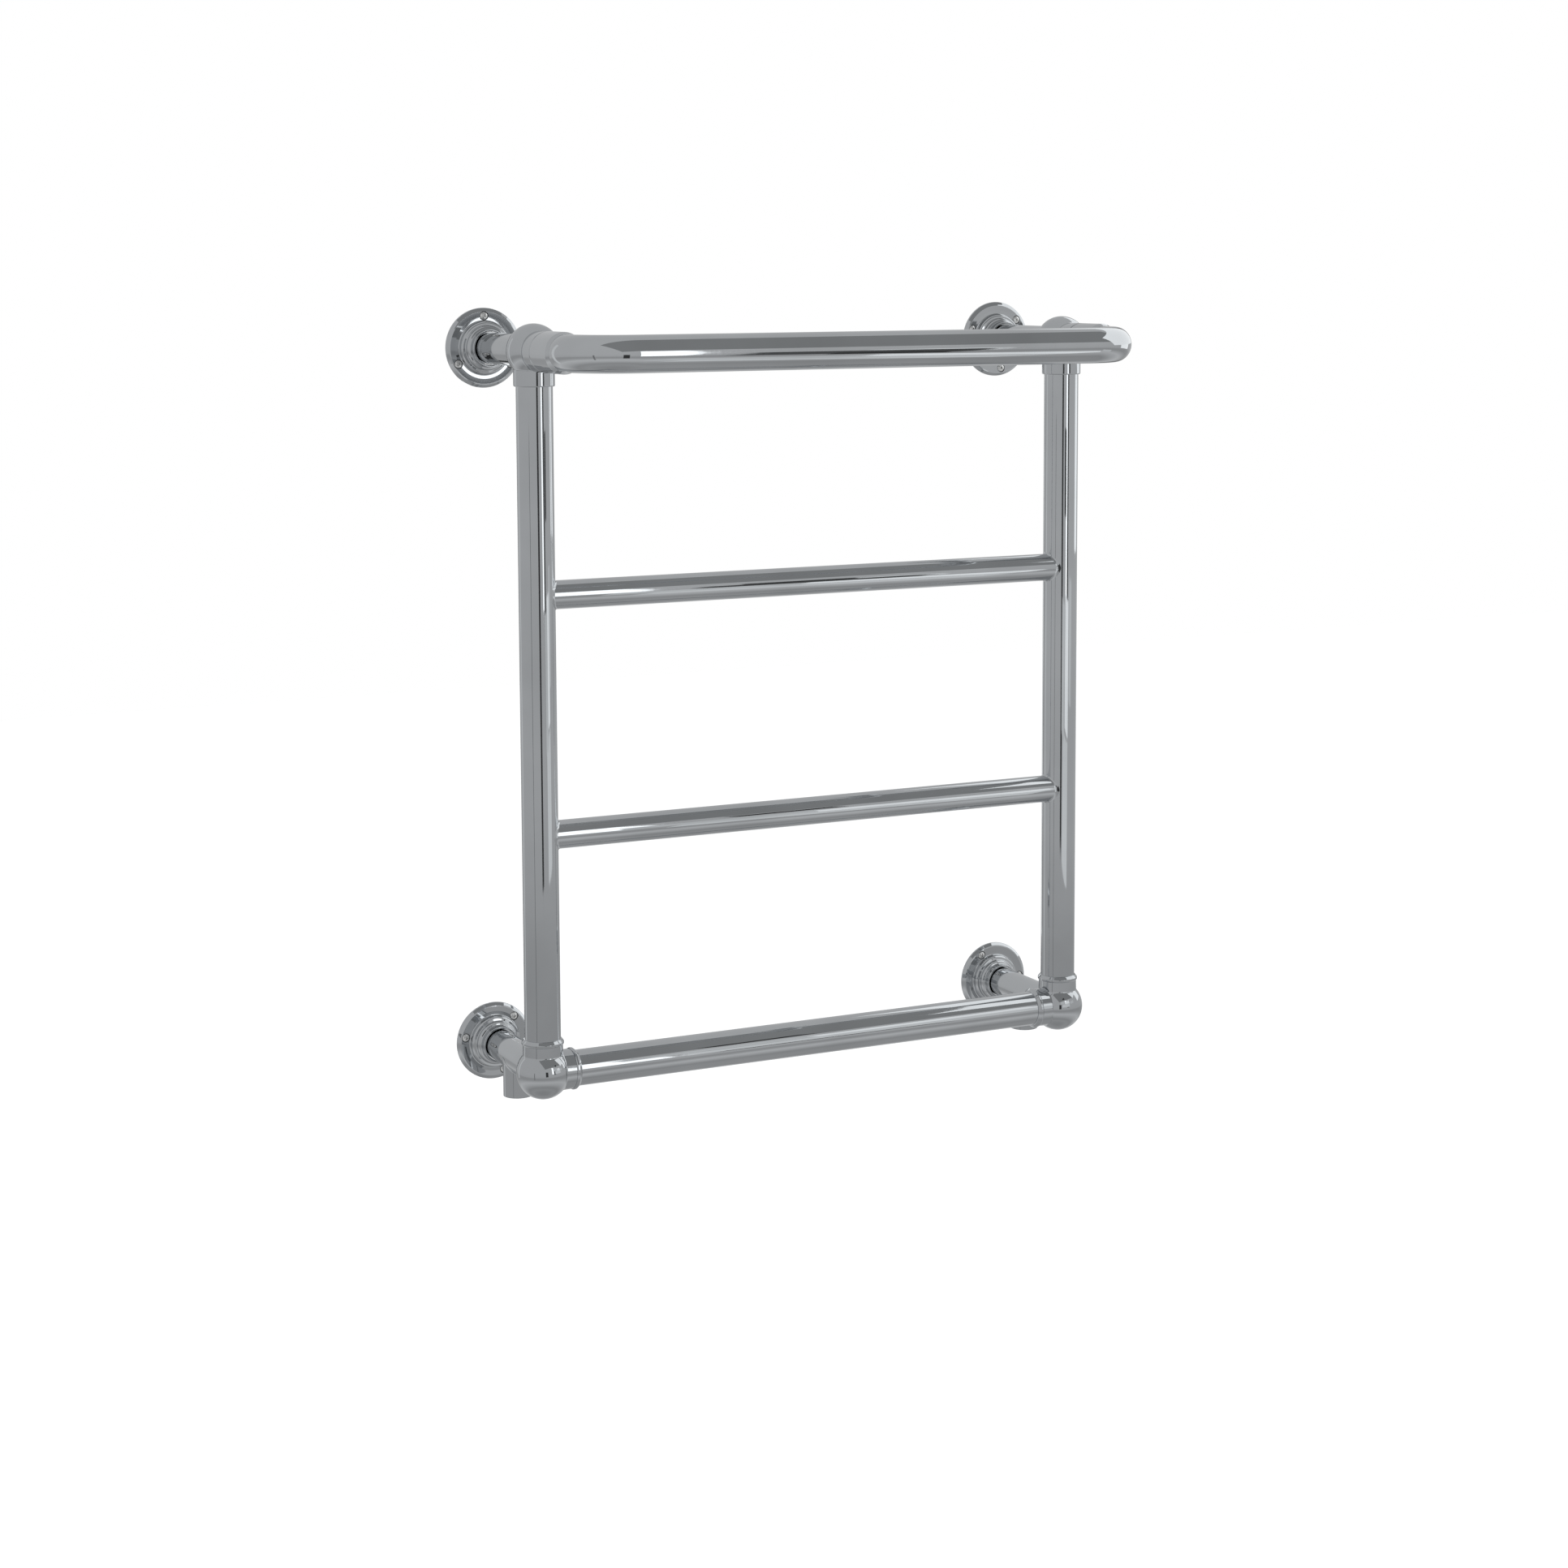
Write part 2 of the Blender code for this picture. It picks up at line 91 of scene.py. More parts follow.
# Sizes that only the looks need.
BEND_RADIUS = 52 * MM
TUBE_WALL = 1.5 * MM
COLLAR_RADIUS = 21.4 * MM
PORT_FROM_WALL = 73 * MM
PORT_RADIUS = 16.4 * MM
PORT_BORE = 10 * MM
SCREW_CIRCLE = 34 * MM
SCREW_COUNT = 3
SCREW_TURN = {"top_left": 90, "top_right": 40, "bottom_left": 48, "bottom_right": 0}
SCREW_HEAD_MM = 4.4
TUBE_INSET = 30 * MM  # how far short of a ball's centre the posts and the bottom rail stop
RAIL_INSET = 32 * MM  # the same for the top rail
SEAT_START = 16 * MM  # where the bore for a wall arm starts, from the ball's centre
SEAT_END = 40 * MM
SEAT_GAP = 0.3 * MM
BRANCH_FILLET = 2.2 * MM
BEND_STEPS = 28
ROUND = 96
SMALL_ROUND = 40


def placed(position, direction):
    """The matrix that puts a shape at a position with its own +Z along a direction."""
    return Matrix.Translation(position) @ UP.rotation_difference(direction).to_matrix().to_4x4()


def ball_centre(row, side):
    return Vector((SIDES[side] * HALF_WIDTH, POST_Y, ROWS[row] * HALF_HEIGHT))


# --- Mesh making ---------------------------------------------------------------------------


def mesh_from(name, points, faces):
    mesh = bpy.data.meshes.new(name)
    mesh.from_pydata(points, [], faces)
    mesh.validate()
    return mesh


def face_outwards(mesh):
    cage = bmesh.new()
    cage.from_mesh(mesh)
    bmesh.ops.remove_doubles(cage, verts=cage.verts, dist=1e-7)
    bmesh.ops.recalc_face_normals(cage, faces=cage.faces)
    if cage.calc_volume(signed=True) < 0:
        bmesh.ops.reverse_faces(cage, faces=cage.faces)
    cage.to_mesh(mesh)
    cage.free()
    return mesh


def lathe(name, outline, matrix, sides=ROUND):
    """A closed solid turned about +Z from a closed outline of (radius, height) points."""
    points = []
    rings = []
    for radius, height in outline:
        if radius < 1e-9:
            rings.append([len(points)])
            points.append((0, 0, height))
            continue
        rings.append(list(range(len(points), len(points) + sides)))
        for i in range(sides):
            angle = 2 * math.pi * i / sides
            points.append((radius * math.cos(angle), radius * math.sin(angle), height))
    faces = []
    for k, ring in enumerate(rings):
        after = rings[(k + 1) % len(rings)]
        if len(ring) == 1 and len(after) == 1:
            continue
        for i in range(sides):
            j = (i + 1) % sides
            if len(ring) == 1:
                faces.append((ring[0], after[i], after[j]))
            elif len(after) == 1:
                faces.append((ring[i], after[0], ring[j]))
            else:
                faces.append((ring[i], after[i], after[j], ring[j]))
    mesh = mesh_from(name, points, faces)
    mesh.transform(matrix)
    return face_outwards(mesh)


def arc(centre, radius, start, end, steps):
    """Points on a circle in the outline's plane, from one angle to another in degrees."""
    made = []
    for i in range(steps + 1):
        angle = math.radians(start + (end - start) * i / steps)
        made.append((centre[0] + radius * math.cos(angle), centre[1] + radius * math.sin(angle)))
    return made


def rounded(corners, steps=5):
    """An outline with each corner (radius, height, fillet) rounded off by its fillet."""
    made = []
    count = len(corners)
    for i, (x, z, fillet) in enumerate(corners):
        here = Vector((x, z))
        before = Vector(corners[i - 1][:2]) - here
        after = Vector(corners[(i + 1) % count][:2]) - here
        if fillet <= 0:
            made.append((x, z))
            continue
        corner_angle = before.angle(after)
        reach = min(fillet / math.tan(corner_angle / 2), 0.49 * before.length, 0.49 * after.length)
        first = here + before.normalized() * reach
        last = here + after.normalized() * reach
        for k in range(steps + 1):
            t = k / steps
            point = first * (1 - t) ** 2 + here * 2 * t * (1 - t) + last * t**2
            made.append((point.x, point.y))
    return [(x * MM, z * MM) for x, z in made]


def sphere(name, centre, radius):
    cage = bmesh.new()
    bmesh.ops.create_uvsphere(cage, u_segments=ROUND, v_segments=ROUND // 2, radius=radius)
    mesh = bpy.data.meshes.new(name)
    cage.to_mesh(mesh)
    cage.free()
    mesh.transform(Matrix.Translation(centre))
    return mesh


def swept(name, route, radius, sides=ROUND // 2):
    """A rod of round section along a flat route in a level plane, with flat ends."""
    points = []
    for k, place in enumerate(route):
        before = route[max(k - 1, 0)]
        after = route[min(k + 1, len(route) - 1)]
        along = (after - before).normalized()
        across = along.cross(UP)
        for i in range(sides):
            angle = 2 * math.pi * i / sides
            points.append(place + radius * (math.cos(angle) * across + math.sin(angle) * UP))
    faces = [tuple(range(sides)), tuple(range(len(points) - sides, len(points)))]
    for k in range(len(route) - 1):
        for i in range(sides):
            j = (i + 1) % sides
            a, b = k * sides, (k + 1) * sides
            faces.append((a + i, a + j, b + j, b + i))
    return face_outwards(mesh_from(name, points, faces))


def saddle_branch(name, radius, main_radius, ends, fillet, matrix, sides=ROUND // 2):
    """A round branch along +Z that meets round tubes along the local Y axis in braze fillets.

    Each end is (height of the tube's axis, way): way is +1 where the branch leaves that tube
    upwards, -1 where it arrives at it from below, and 0 for a flat end at that height.
    """
    fillet_steps = 7
    rows = []
    for i in range(sides):
        angle = 2 * math.pi * i / sides
        spoke = Vector((math.cos(angle), math.sin(angle)))
        column = []
        for end, (height, way) in enumerate(ends):
            part = []
            if way == 0:
                part.append((radius, height))
            else:
                for k in range(fillet_steps + 1):
                    swing = math.pi / 2 * k / fillet_steps
                    out = radius + fillet * (1 - math.sin(swing))
                    rise = fillet * (1 - math.cos(swing))
                    sunk = 0.25 * MM if k == 0 else 0
                    across = min(abs(out * spoke.x), main_radius * 0.999)
                    skin = math.sqrt(main_radius**2 - across**2)
                    part.append((out, height + way * (skin + rise - sunk)))
                inner = part[0][0] * 0.5
                across = abs(inner * spoke.x)
                skin = math.sqrt(main_radius**2 - across**2)
                part.insert(0, (inner, height + way * (skin - 2 * MM)))
            column += part if end == 0 else part[::-1]
        rows.append([(out * spoke.x, out * spoke.y, height) for out, height in column])
    length = len(rows[0])
    points = [point for row in rows for point in row]
    faces = [
        tuple(i * length for i in range(sides)),
        tuple(i * length + length - 1 for i in range(sides)),
    ]
    for i in range(sides):
        j = (i + 1) % sides
        for k in range(length - 1):
            faces.append((i * length + k, j * length + k, j * length + k + 1, i * length + k + 1))
    mesh = mesh_from(name, points, faces)
    mesh.transform(matrix)
    return face_outwards(mesh)


def boolean(mesh, others, operation):
    """The mesh joined with, or cut by, each of the others in turn."""
    base = bpy.data.objects.new("boolean_base", mesh)
    bpy.context.scene.collection.objects.link(base)
    helpers = []
    for other in others:
        helper = bpy.data.objects.new("boolean_helper", other)
        bpy.context.scene.collection.objects.link(helper)
        helpers.append(helper)
        modifier = base.modifiers.new("boolean", "BOOLEAN")
        modifier.operation = operation
        modifier.solver = "EXACT"
        modifier.object = helper
    bpy.context.view_layer.update()
    graph = bpy.context.evaluated_depsgraph_get()
    made = bpy.data.meshes.new_from_object(base.evaluated_get(graph))
    for helper in [base, *helpers]:
        bpy.data.objects.remove(helper)
    return made


def add_piece(name, mesh, material, nodes, body=RACK, sharp=35):
    mesh.shade_smooth()
    mesh.set_sharp_from_angle(angle=math.radians(sharp))
    piece = bpy.data.objects.new(name, mesh)
    bpy.context.scene.collection.objects.link(piece)
    mesh.materials.clear()
    mesh.materials.append(material)
    weighted = piece.modifiers.new("face_weighted_normals", "WEIGHTED_NORMAL")
    weighted.keep_sharp = True
    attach(piece, body)
    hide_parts(*nodes)
    return piece


# --- Materials -----------------------------------------------------------------------------


class Shader:
    """A small helper that builds a node tree by name."""

    def __init__(self, name):
        self.material = bpy.data.materials.new(name)
        self.material.use_nodes = True
        self.nodes = self.material.node_tree.nodes
        self.links = self.material.node_tree.links
        self.principled = self.nodes["Principled BSDF"]
        self.place = self.nodes.new("ShaderNodeTexCoord").outputs["Object"]

    def noise(self, scale, detail=3.0, stretch=None):
        noise = self.nodes.new("ShaderNodeTexNoise")
        noise.inputs["Scale"].default_value = scale
        noise.inputs["Detail"].default_value = detail
        source = self.place
        if stretch is not None:
            mapping = self.nodes.new("ShaderNodeMapping")
            mapping.inputs["Scale"].default_value = stretch
            self.links.new(source, mapping.inputs["Vector"])
            source = mapping.outputs["Vector"]
        self.links.new(source, noise.inputs["Vector"])
        return noise.outputs["Fac"]

    def ramp(self, factor, stops):
        ramp = self.nodes.new("ShaderNodeValToRGB")
        elements = ramp.color_ramp.elements
        while len(elements) < len(stops):
            elements.new(0.5)
        for element, (position, colour) in zip(elements, stops):
            element.position = position
            element.color = (*colour, 1)
        self.links.new(factor, ramp.inputs["Fac"])
        return ramp.outputs["Color"]

    def map_range(self, factor, low, high, new_low, new_high):
        node = self.nodes.new("ShaderNodeMapRange")
        values = {"From Min": low, "From Max": high, "To Min": new_low, "To Max": new_high}
        for name, value in values.items():
            node.inputs[name].default_value = value
        self.links.new(factor, node.inputs["Value"])
        return node.outputs["Result"]

    def add(self, first, second):
        node = self.nodes.new("ShaderNodeMath")
        node.operation = "ADD"
        self.links.new(first, node.inputs[0])
        self.links.new(second, node.inputs[1])
        return node.outputs["Value"]

    def bump(self, height, strength, distance, normal=None):
        node = self.nodes.new("ShaderNodeBump")
        node.inputs["Strength"].default_value = strength
        node.inputs["Distance"].default_value = distance
        self.links.new(height, node.inputs["Height"])
        if normal is not None:
            self.links.new(normal, node.inputs["Normal"])
        return node.outputs["Normal"]

    def set(self, socket, source):
        self.links.new(source, self.principled.inputs[socket])


def chrome_material(name, tint=(0.0, 0.0, 0.0)):
    """Plated chrome: cloudy polish, faint lengthwise smears and an almost flat ripple."""
    shader = Shader(name)
    shader.principled.inputs["Metallic"].default_value = 1.0
    clouds = shader.noise(9, 4)
    base = (0.60 + tint[0], 0.615 + tint[1], 0.63 + tint[2])
    darker = tuple(0.90 * value for value in base)
    shader.set("Base Color", shader.ramp(clouds, [(0.30, darker), (0.62, base)]))
    haze = shader.map_range(shader.noise(22, 5), 0.3, 0.75, 0.02, 0.055)
    smears = shader.map_range(shader.noise(160, 3, (1, 1, 0.12)), 0.45, 0.8, 0.0, 0.03)
    shader.set("Roughness", shader.add(haze, smears))
    ripple = shader.bump(shader.noise(38, 1), 0.03, 0.0006)
    shader.set("Normal", shader.bump(shader.noise(900, 2, (1, 1, 0.2)), 0.004, 0.0001, ripple))
    return shader.material


def steel_material(name):
    """Bright nickel-plated fastener steel, duller where it is darker, with a fine grain."""
    shader = Shader(name)
    shader.principled.inputs["Metallic"].default_value = 1.0
    wear = shader.noise(420, 4)
    dull, bright = (0.70, 0.70, 0.69), (0.88, 0.88, 0.87)
    shader.set("Base Color", shader.ramp(wear, [(0.3, dull), (0.7, bright)]))
    shader.set("Roughness", shader.map_range(wear, 0.3, 0.7, 0.38, 0.24))
    shader.set("Normal", shader.bump(shader.noise(2600, 2), 0.08, 0.0002))
    return shader.material


def brass_material(name):
    """Bare brass, tarnished in patches."""
    shader = Shader(name)
    shader.principled.inputs["Metallic"].default_value = 1.0
    tarnish = shader.noise(300, 4)
    dull, bright = (0.52, 0.36, 0.15), (0.80, 0.63, 0.33)
    shader.set("Base Color", shader.ramp(tarnish, [(0.3, dull), (0.7, bright)]))
    shader.set("Roughness", shader.map_range(tarnish, 0.3, 0.7, 0.42, 0.22))
    shader.set("Normal", shader.bump(shader.noise(2400, 2, (1, 1, 0.2)), 0.10, 0.0002))
    return shader.material


def rubber_material(name):
    """Black seal rubber with a fine grain."""
    shader = Shader(name)
    grain = shader.noise(1500, 3)
    dark, pale = (0.018, 0.018, 0.018), (0.05, 0.05, 0.05)
    shader.set("Base Color", shader.ramp(grain, [(0.3, dark), (0.7, pale)]))
    shader.set("Roughness", shader.map_range(grain, 0.3, 0.7, 0.6, 0.85))
    shader.set("Normal", shader.bump(grain, 0.2, 0.0003))
    return shader.material


CHROME = chrome_material("polished_chrome")
CAST_CHROME = chrome_material("cast_chrome", (-0.02, -0.02, -0.02))
STEEL = steel_material("fastener_steel")
BRASS = brass_material("vent_brass")
RUBBER = rubber_material("seal_rubber")


# --- Pieces --------------------------------------------------------------------------------


def collar_mesh(name, matrix, reach, beaded):
    """A socket collar that leaves the ball in a tangent fillet. Its end is rounded, or beaded."""
    ball = BALL_RADIUS / MM
    collar = COLLAR_RADIUS / MM
    tube = TUBE_RADIUS / MM
    end = reach / MM
    fillet = 3.0
    height = math.sqrt((ball + fillet) ** 2 - (collar + fillet) ** 2)
    meeting = math.degrees(math.atan2(height, collar + fillet))
    skin = arc((collar + fillet, height), fillet, 180 + meeting, 180, 8)
    # The first point is sunk a little into the ball.
    sink = (0.02, 0.06)
    skin = [
        ((x - sink[0] * (k == 0)) * MM, (z - sink[1] * (k == 0)) * MM)
        for k, (x, z) in enumerate(skin)
    ]
    if beaded:
        tip = rounded(
            [
                (collar, end - 6.0, 1.0),
                (collar + 0.9, end - 4.6, 1.2),
                (collar + 0.9, end - 2.6, 1.3),
                (tube + 0.9, end + 0.4, 1.0),
                (tube - 0.1, end + 0.6, 0),
            ],
            steps=4,
        )[0:-1] + [((tube - 0.1) * MM, (end + 0.6) * MM)]
    else:
        tip = arc((collar - 1.2, end - 1.2), 1.2, 0, 90, 5)
        tip = [(x * MM, z * MM) for x, z in tip] + [((tube - 0.1) * MM, reach)]
    inner = [
        ((tube - 0.1) * MM, (ball - 4) * MM),
        (0, (ball - 4) * MM),
        (0, 3 * MM),
        (skin[0][0] * 0.8, 3 * MM),
    ]
    return lathe(name, skin + tip + inner, matrix)


def ball_joints():
    for row in ROWS:
        for side, sign in SIDES.items():
            name = f"{row}_{side}_ball_joint"
            centre = ball_centre(row, side)
            body = sphere(name, centre, BALL_RADIUS)
            if row == "top":
                ways = [(DOWN, COLLAR_END, False), (FORWARD, FRONT_COLLAR_END, False)]
            else:
                ways = [(UP, COLLAR_END, True), (RIGHT * -sign, COLLAR_END, True)]
            collars = [
                collar_mesh(name, placed(centre, way), reach, bead) for way, reach, bead in ways
            ]
            bore = ARM_RADIUS + SEAT_GAP
            seat = [(0, SEAT_START), (bore, SEAT_START), (bore, SEAT_END), (0, SEAT_END)]
            mesh = boolean(body, collars, "UNION")
            seat_mesh = lathe("arm_seat", seat, placed(centre, WALLWARD))
            mesh = boolean(mesh, [seat_mesh], "DIFFERENCE")
            add_piece(f"{row}_{side}_casting", mesh, CAST_CHROME, [name], sharp=28)


def tube_outline(radius, wall, start, end):
    return [(radius - wall, start), (radius - wall, end), (radius, end), (radius, start)]


def posts():
    for side, sign in SIDES.items():
        length = 2 * (HALF_HEIGHT - TUBE_INSET)
        foot = Vector((sign * HALF_WIDTH, POST_Y, -HALF_HEIGHT + TUBE_INSET))
        outline = tube_outline(TUBE_RADIUS, TUBE_WALL, 0, length)
        mesh = lathe(f"{side}_post_tube", outline, placed(foot, UP))
        add_piece(f"{side}_post_tube", mesh, CHROME, [f"{side}_post"])


def crossbars():
    for level in ("upper", "lower"):
        z = middle(f"{level}_crossbar").z
        # The branch's local Y axis has to lie along the posts, which stand along world Z.
        matrix = Matrix.Translation((-HALF_WIDTH, POST_Y, z)) @ Matrix(
            ((0, 0, 1, 0), (1, 0, 0, 0), (0, 1, 0, 0), (0, 0, 0, 1))
        )
        ends = [(0, 1), (2 * HALF_WIDTH, -1)]
        mesh = saddle_branch(
            f"{level}_bar", CROSSBAR_RADIUS, TUBE_RADIUS, ends, BRANCH_FILLET, matrix, 64
        )
        add_piece(f"{level}_bar", mesh, CHROME, [f"{level}_crossbar"])


def bottom_rail():
    start = Vector((-HALF_WIDTH + TUBE_INSET, POST_Y, -HALF_HEIGHT))
    outline = tube_outline(TUBE_RADIUS, TUBE_WALL, 0, 2 * (HALF_WIDTH - TUBE_INSET))
    mesh = lathe("bottom_rail_tube", outline, placed(start, RIGHT))
    add_piece("bottom_rail_tube", mesh, CHROME, ["bottom_rail"])


def top_rail():
    """One U-shaped tube, from one upper ball round the front to the other."""
    bend_x = HALF_WIDTH - BEND_RADIUS
    bend_y = FRONT_Y + BEND_RADIUS
    half = []
    for i in range(BEND_STEPS + 1):
        angle = math.radians(-90 + 90 * i / BEND_STEPS)
        x = bend_x + BEND_RADIUS * math.cos(angle)
        y = bend_y + BEND_RADIUS * math.sin(angle)
        half.append(Vector((x, y, HALF_HEIGHT)))
    half.append(Vector((HALF_WIDTH, POST_Y - RAIL_INSET, HALF_HEIGHT)))
    mirrored = [Vector((-p.x, p.y, p.z)) for p in reversed(half)]
    mesh = swept("top_rail_tube", mirrored + half, TUBE_RADIUS, 96)
    add_piece("top_rail_tube", mesh, CHROME, ["top_rail"])


def ferrules():
    """Each sleeve starts with a fine groove at the casting and ends in a long soft taper."""
    tube = TUBE_RADIUS / MM
    collar = COLLAR_RADIUS / MM
    length = (FERRULE_END - FRONT_COLLAR_END) / MM
    for side in SIDES:
        centre = ball_centre("top", side)
        corners = [
            (tube - 0.1, 0.2, 0),
            (collar - 1.5, 0.2, 0),
            (collar - 1.3, 0.7, 0.3),
            (collar - 0.1, 1.5, 0.7),
            (collar - 0.1, length - 6.0, 3.0),
            (tube + 0.35, length - 0.8, 2.4),
            (tube + 0.1, length, 0.3),
            (tube - 0.1, length, 0),
        ]
        matrix = placed(centre + FORWARD * FRONT_COLLAR_END, FORWARD)
        mesh = lathe(f"top_{side}_sleeve", rounded(corners), matrix)
        add_piece(f"top_{side}_sleeve", mesh, CHROME, [f"top_{side}_rail_ferrule"])


def arm_corners(front):
    """Outline of a hollow wall arm: open at the wall, with a narrow bead just clear of the ball."""
    radius = ARM_RADIUS / MM
    end = (ARM_END_Y - POST_Y) / MM
    return [
        (radius - 3.5, front, 0),
        (radius - 3.5, end, 0),
        (radius - 0.7, end, 0.2),
        (radius - 0.7, 29.8, 0.4),
        (radius - 0.1, 29.2, 0.4),
        (radius - 0.1, 26.6, 0.4),
        (radius - 1.1, 26.0, 0.4),
        (radius - 1.1, front, 0),
    ]


def upper_arms():
    for side in SIDES:
        centre = ball_centre("top", side)
        mesh = lathe(f"top_{side}_arm", rounded(arm_corners(18)), placed(centre, WALLWARD))
        add_piece(f"top_{side}_arm", mesh, CHROME, [f"top_{side}_wall_arm"])


def lower_arms():
    """The inlet arms: the same outer shape with a downward branch, bored from below."""
    radius = ARM_RADIUS / MM
    end = (ARM_END_Y - POST_Y) / MM
    for side in SIDES:
        name = f"bottom_{side}_inlet_arm"
        centre = ball_centre("bottom", side)
        outline = rounded(
            [
                (0, 18.6, 0),
                (radius - 1.1, 18.6, 0),
                (radius - 1.1, 26.0, 0.4),
                (radius - 0.1, 26.6, 0.4),
                (radius - 0.1, 29.2, 0.4),
                (radius - 0.7, 29.8, 0.4),
                (radius - 0.7, end, 0.2),
                (radius - 3.5, end, 0.2),
                (radius - 3.5, end - 28, 1.0),
                (0, end - 28, 0),
            ]
        )
        arm = lathe(name, outline, placed(centre, WALLWARD))
        axis = Vector((centre.x, -PORT_FROM_WALL, centre.z))
        turned_down = Matrix(((1, 0, 0, 0), (0, -1, 0, 0), (0, 0, -1, 0), (0, 0, 0, 1)))
        leg = saddle_branch(
            name,
            PORT_RADIUS - 0.6 * MM,
            ARM_RADIUS - 0.5 * MM,
            [(0, 1), (PORT_END, 0)],
            1.5 * MM,
            Matrix.Translation(axis) @ turned_down,
        )
        bore = [
            (0, PORT_END - 18 * MM),
            (PORT_BORE, PORT_END - 18 * MM),
            (PORT_BORE, PORT_END - 1 * MM),
            (PORT_BORE + 1.6 * MM, PORT_END + 0.6 * MM),
            (PORT_BORE + 1.6 * MM, PORT_END + 4 * MM),
            (0, PORT_END + 4 * MM),
        ]
        waterway = [
            (0, 5 * MM),
            (8 * MM, 5 * MM),
            (8 * MM, PORT_END - 17 * MM),
            (0, PORT_END - 17 * MM),
        ]
        mesh = boolean(arm, [leg], "UNION")
        cutters = [
            lathe("port_bore", bore, placed(axis, DOWN)),
            lathe("port_waterway", waterway, placed(axis, DOWN)),
        ]
        mesh = boolean(mesh, cutters, "DIFFERENCE")
        add_piece(name, mesh, CHROME, [f"bottom_{side}_valve_arm"], sharp=32)


def flange_outline():
    """Outline from the bore over the stepped hub and the dished face to the rim."""
    rim = FLANGE_RADIUS / MM
    bore = ARM_RADIUS / MM + 0.3
    corners = [
        (bore, 0, 0),
        (bore, 24.0, 0.4),
        (20.0, 24.5, 1.4),
        (20.3, 16.8, 1.0),
        (22.5, 16.2, 1.5),
        (23.3, 14.4, 1.2),
        (23.5, 11.4, 1.2),
        (26.9, 10.9, 1.8),
        (28.0, 9.2, 1.6),
        (28.3, 4.2, 1.6),
        (33.0, 4.27, 6.0),
        (38.4, 4.65, 0.4),
        (39.6, 4.2, 1.6),
        (rim, 1.8, 1.2),
        (rim, 0, 0),
    ]
    return rounded(corners)


def flanges():
    for row in ROWS:
        for side, sign in SIDES.items():
            corner = f"{row}_{side}"
            foot = Vector((sign * HALF_WIDTH, 0, ROWS[row] * HALF_HEIGHT))
            place = placed(foot, FORWARD)
            mesh = lathe(f"{corner}_wall_flange", flange_outline(), place, 128)
            cutters = []
            for number in range(SCREW_COUNT):
                angle = math.radians(SCREW_TURN[corner] + 120 * number)
                offset = SCREW_CIRCLE * Vector((math.cos(angle), 0, math.sin(angle)))
                spot = Matrix.Translation(offset) @ place
                hole = [(0, -2), (2.6, -2), (2.6, 1.0), (4.9, 2.6), (4.9, 8), (0, 8)]
                outline = [(x * MM, z * MM) for x, z in hole]
                cutters.append(lathe("screw_hole", outline, spot, SMALL_ROUND))
                screw(f"{corner}_flange_screw_{number + 1}", spot, angle * 1.7 + number)
            grub = [(0, 17), (2.3, 17), (2.3, 22), (0, 22)]
            grub_place = placed(place.translation + FORWARD * 20 * MM, DOWN)
            outline = [(x * MM, z * MM) for x, z in grub]
            cutters.append(lathe("grub_hole", outline, grub_place, SMALL_ROUND))
            mesh = boolean(mesh, cutters, "DIFFERENCE")
            add_piece(f"{corner}_wall_flange", mesh, CHROME, [f"{corner}_flange"], sharp=30)


def cross_cutters(matrix):
    """The two tapered blades of a cross-tipped screwdriver."""
    blades = []
    for turn in (0, 90):
        cage = bmesh.new()
        made = bmesh.ops.create_cube(cage, size=1)
        for vertex in made["verts"]:
            top = vertex.co.z > 0
            length = 5.0 if top else 2.2
            width = 1.15 if top else 0.7
            height = 6.2 if top else 3.4
            vertex.co = Vector((vertex.co.x * length, vertex.co.y * width, height)) * MM
        blade = bpy.data.meshes.new("blade")
        cage.to_mesh(blade)
        cage.free()
        blade.transform(matrix @ Matrix.Rotation(math.radians(turn), 4, "Z"))
        blades.append(blade)
    return blades


def screw(node, spot, spin):
    """A countersunk screw with a domed head. Heights are in millimetres above the wall."""
    outline = [(0, 0.3), (2.1, 0.3), (2.1, 1.2), (SCREW_HEAD_MM, 3.5)]
    for k in range(1, 8):
        angle = math.pi / 2 * k / 8
        outline.append((SCREW_HEAD_MM * math.cos(angle), 3.5 + 1.9 * math.sin(angle)))
    outline += [(0, 5.4)]
    matrix = spot @ Matrix.Rotation(spin, 4, "Z")
    mesh = lathe(node, [(x * MM, z * MM) for x, z in outline], matrix, SMALL_ROUND)
    mesh = boolean(mesh, cross_cutters(matrix), "DIFFERENCE")
    add_piece(f"{node}_head", mesh, STEEL, [node], sharp=30)


def vent():
    """The air vent's round plug. The square spindle in it is the CAD node, carried over."""
    joint = frame["joints"][0]
    axis = Vector(joint["axis"]).normalized()
    centre = ball_centre("top", "right")
    place = placed(centre, axis)
    outline = rounded(
        [
            (2.38, 16, 0),
            (2.38, 33.3, 0.3),
            (6.6, 33.3, 0.7),
            (7.3, 32.4, 0.7),
            (7.3, 27.3, 0.3),
            (5.0, 27.3, 0),
            (5.0, 16, 0),
        ]
    )
    mesh = lathe("air_vent_plug", outline, place, SMALL_ROUND * 2)
    add_piece("air_vent_plug", mesh, CHROME, ["air_vent_body"])


def repaint(node, material):
    obj = frame["nodes"][node]
    obj.data.materials.clear()
    obj.data.materials.append(material)


def carried_over():
    """CAD nodes that stay as they are, each in its own material."""
    for node in frame["nodes"]:
        if "grub" in node or "stud" in node:
            repaint(node, STEEL)
        elif "seal" in node:
            repaint(node, RUBBER)
        elif node == "air_vent_spindle":
            repaint(node, BRASS)


# --- Stage ---------------------------------------------------------------------------------


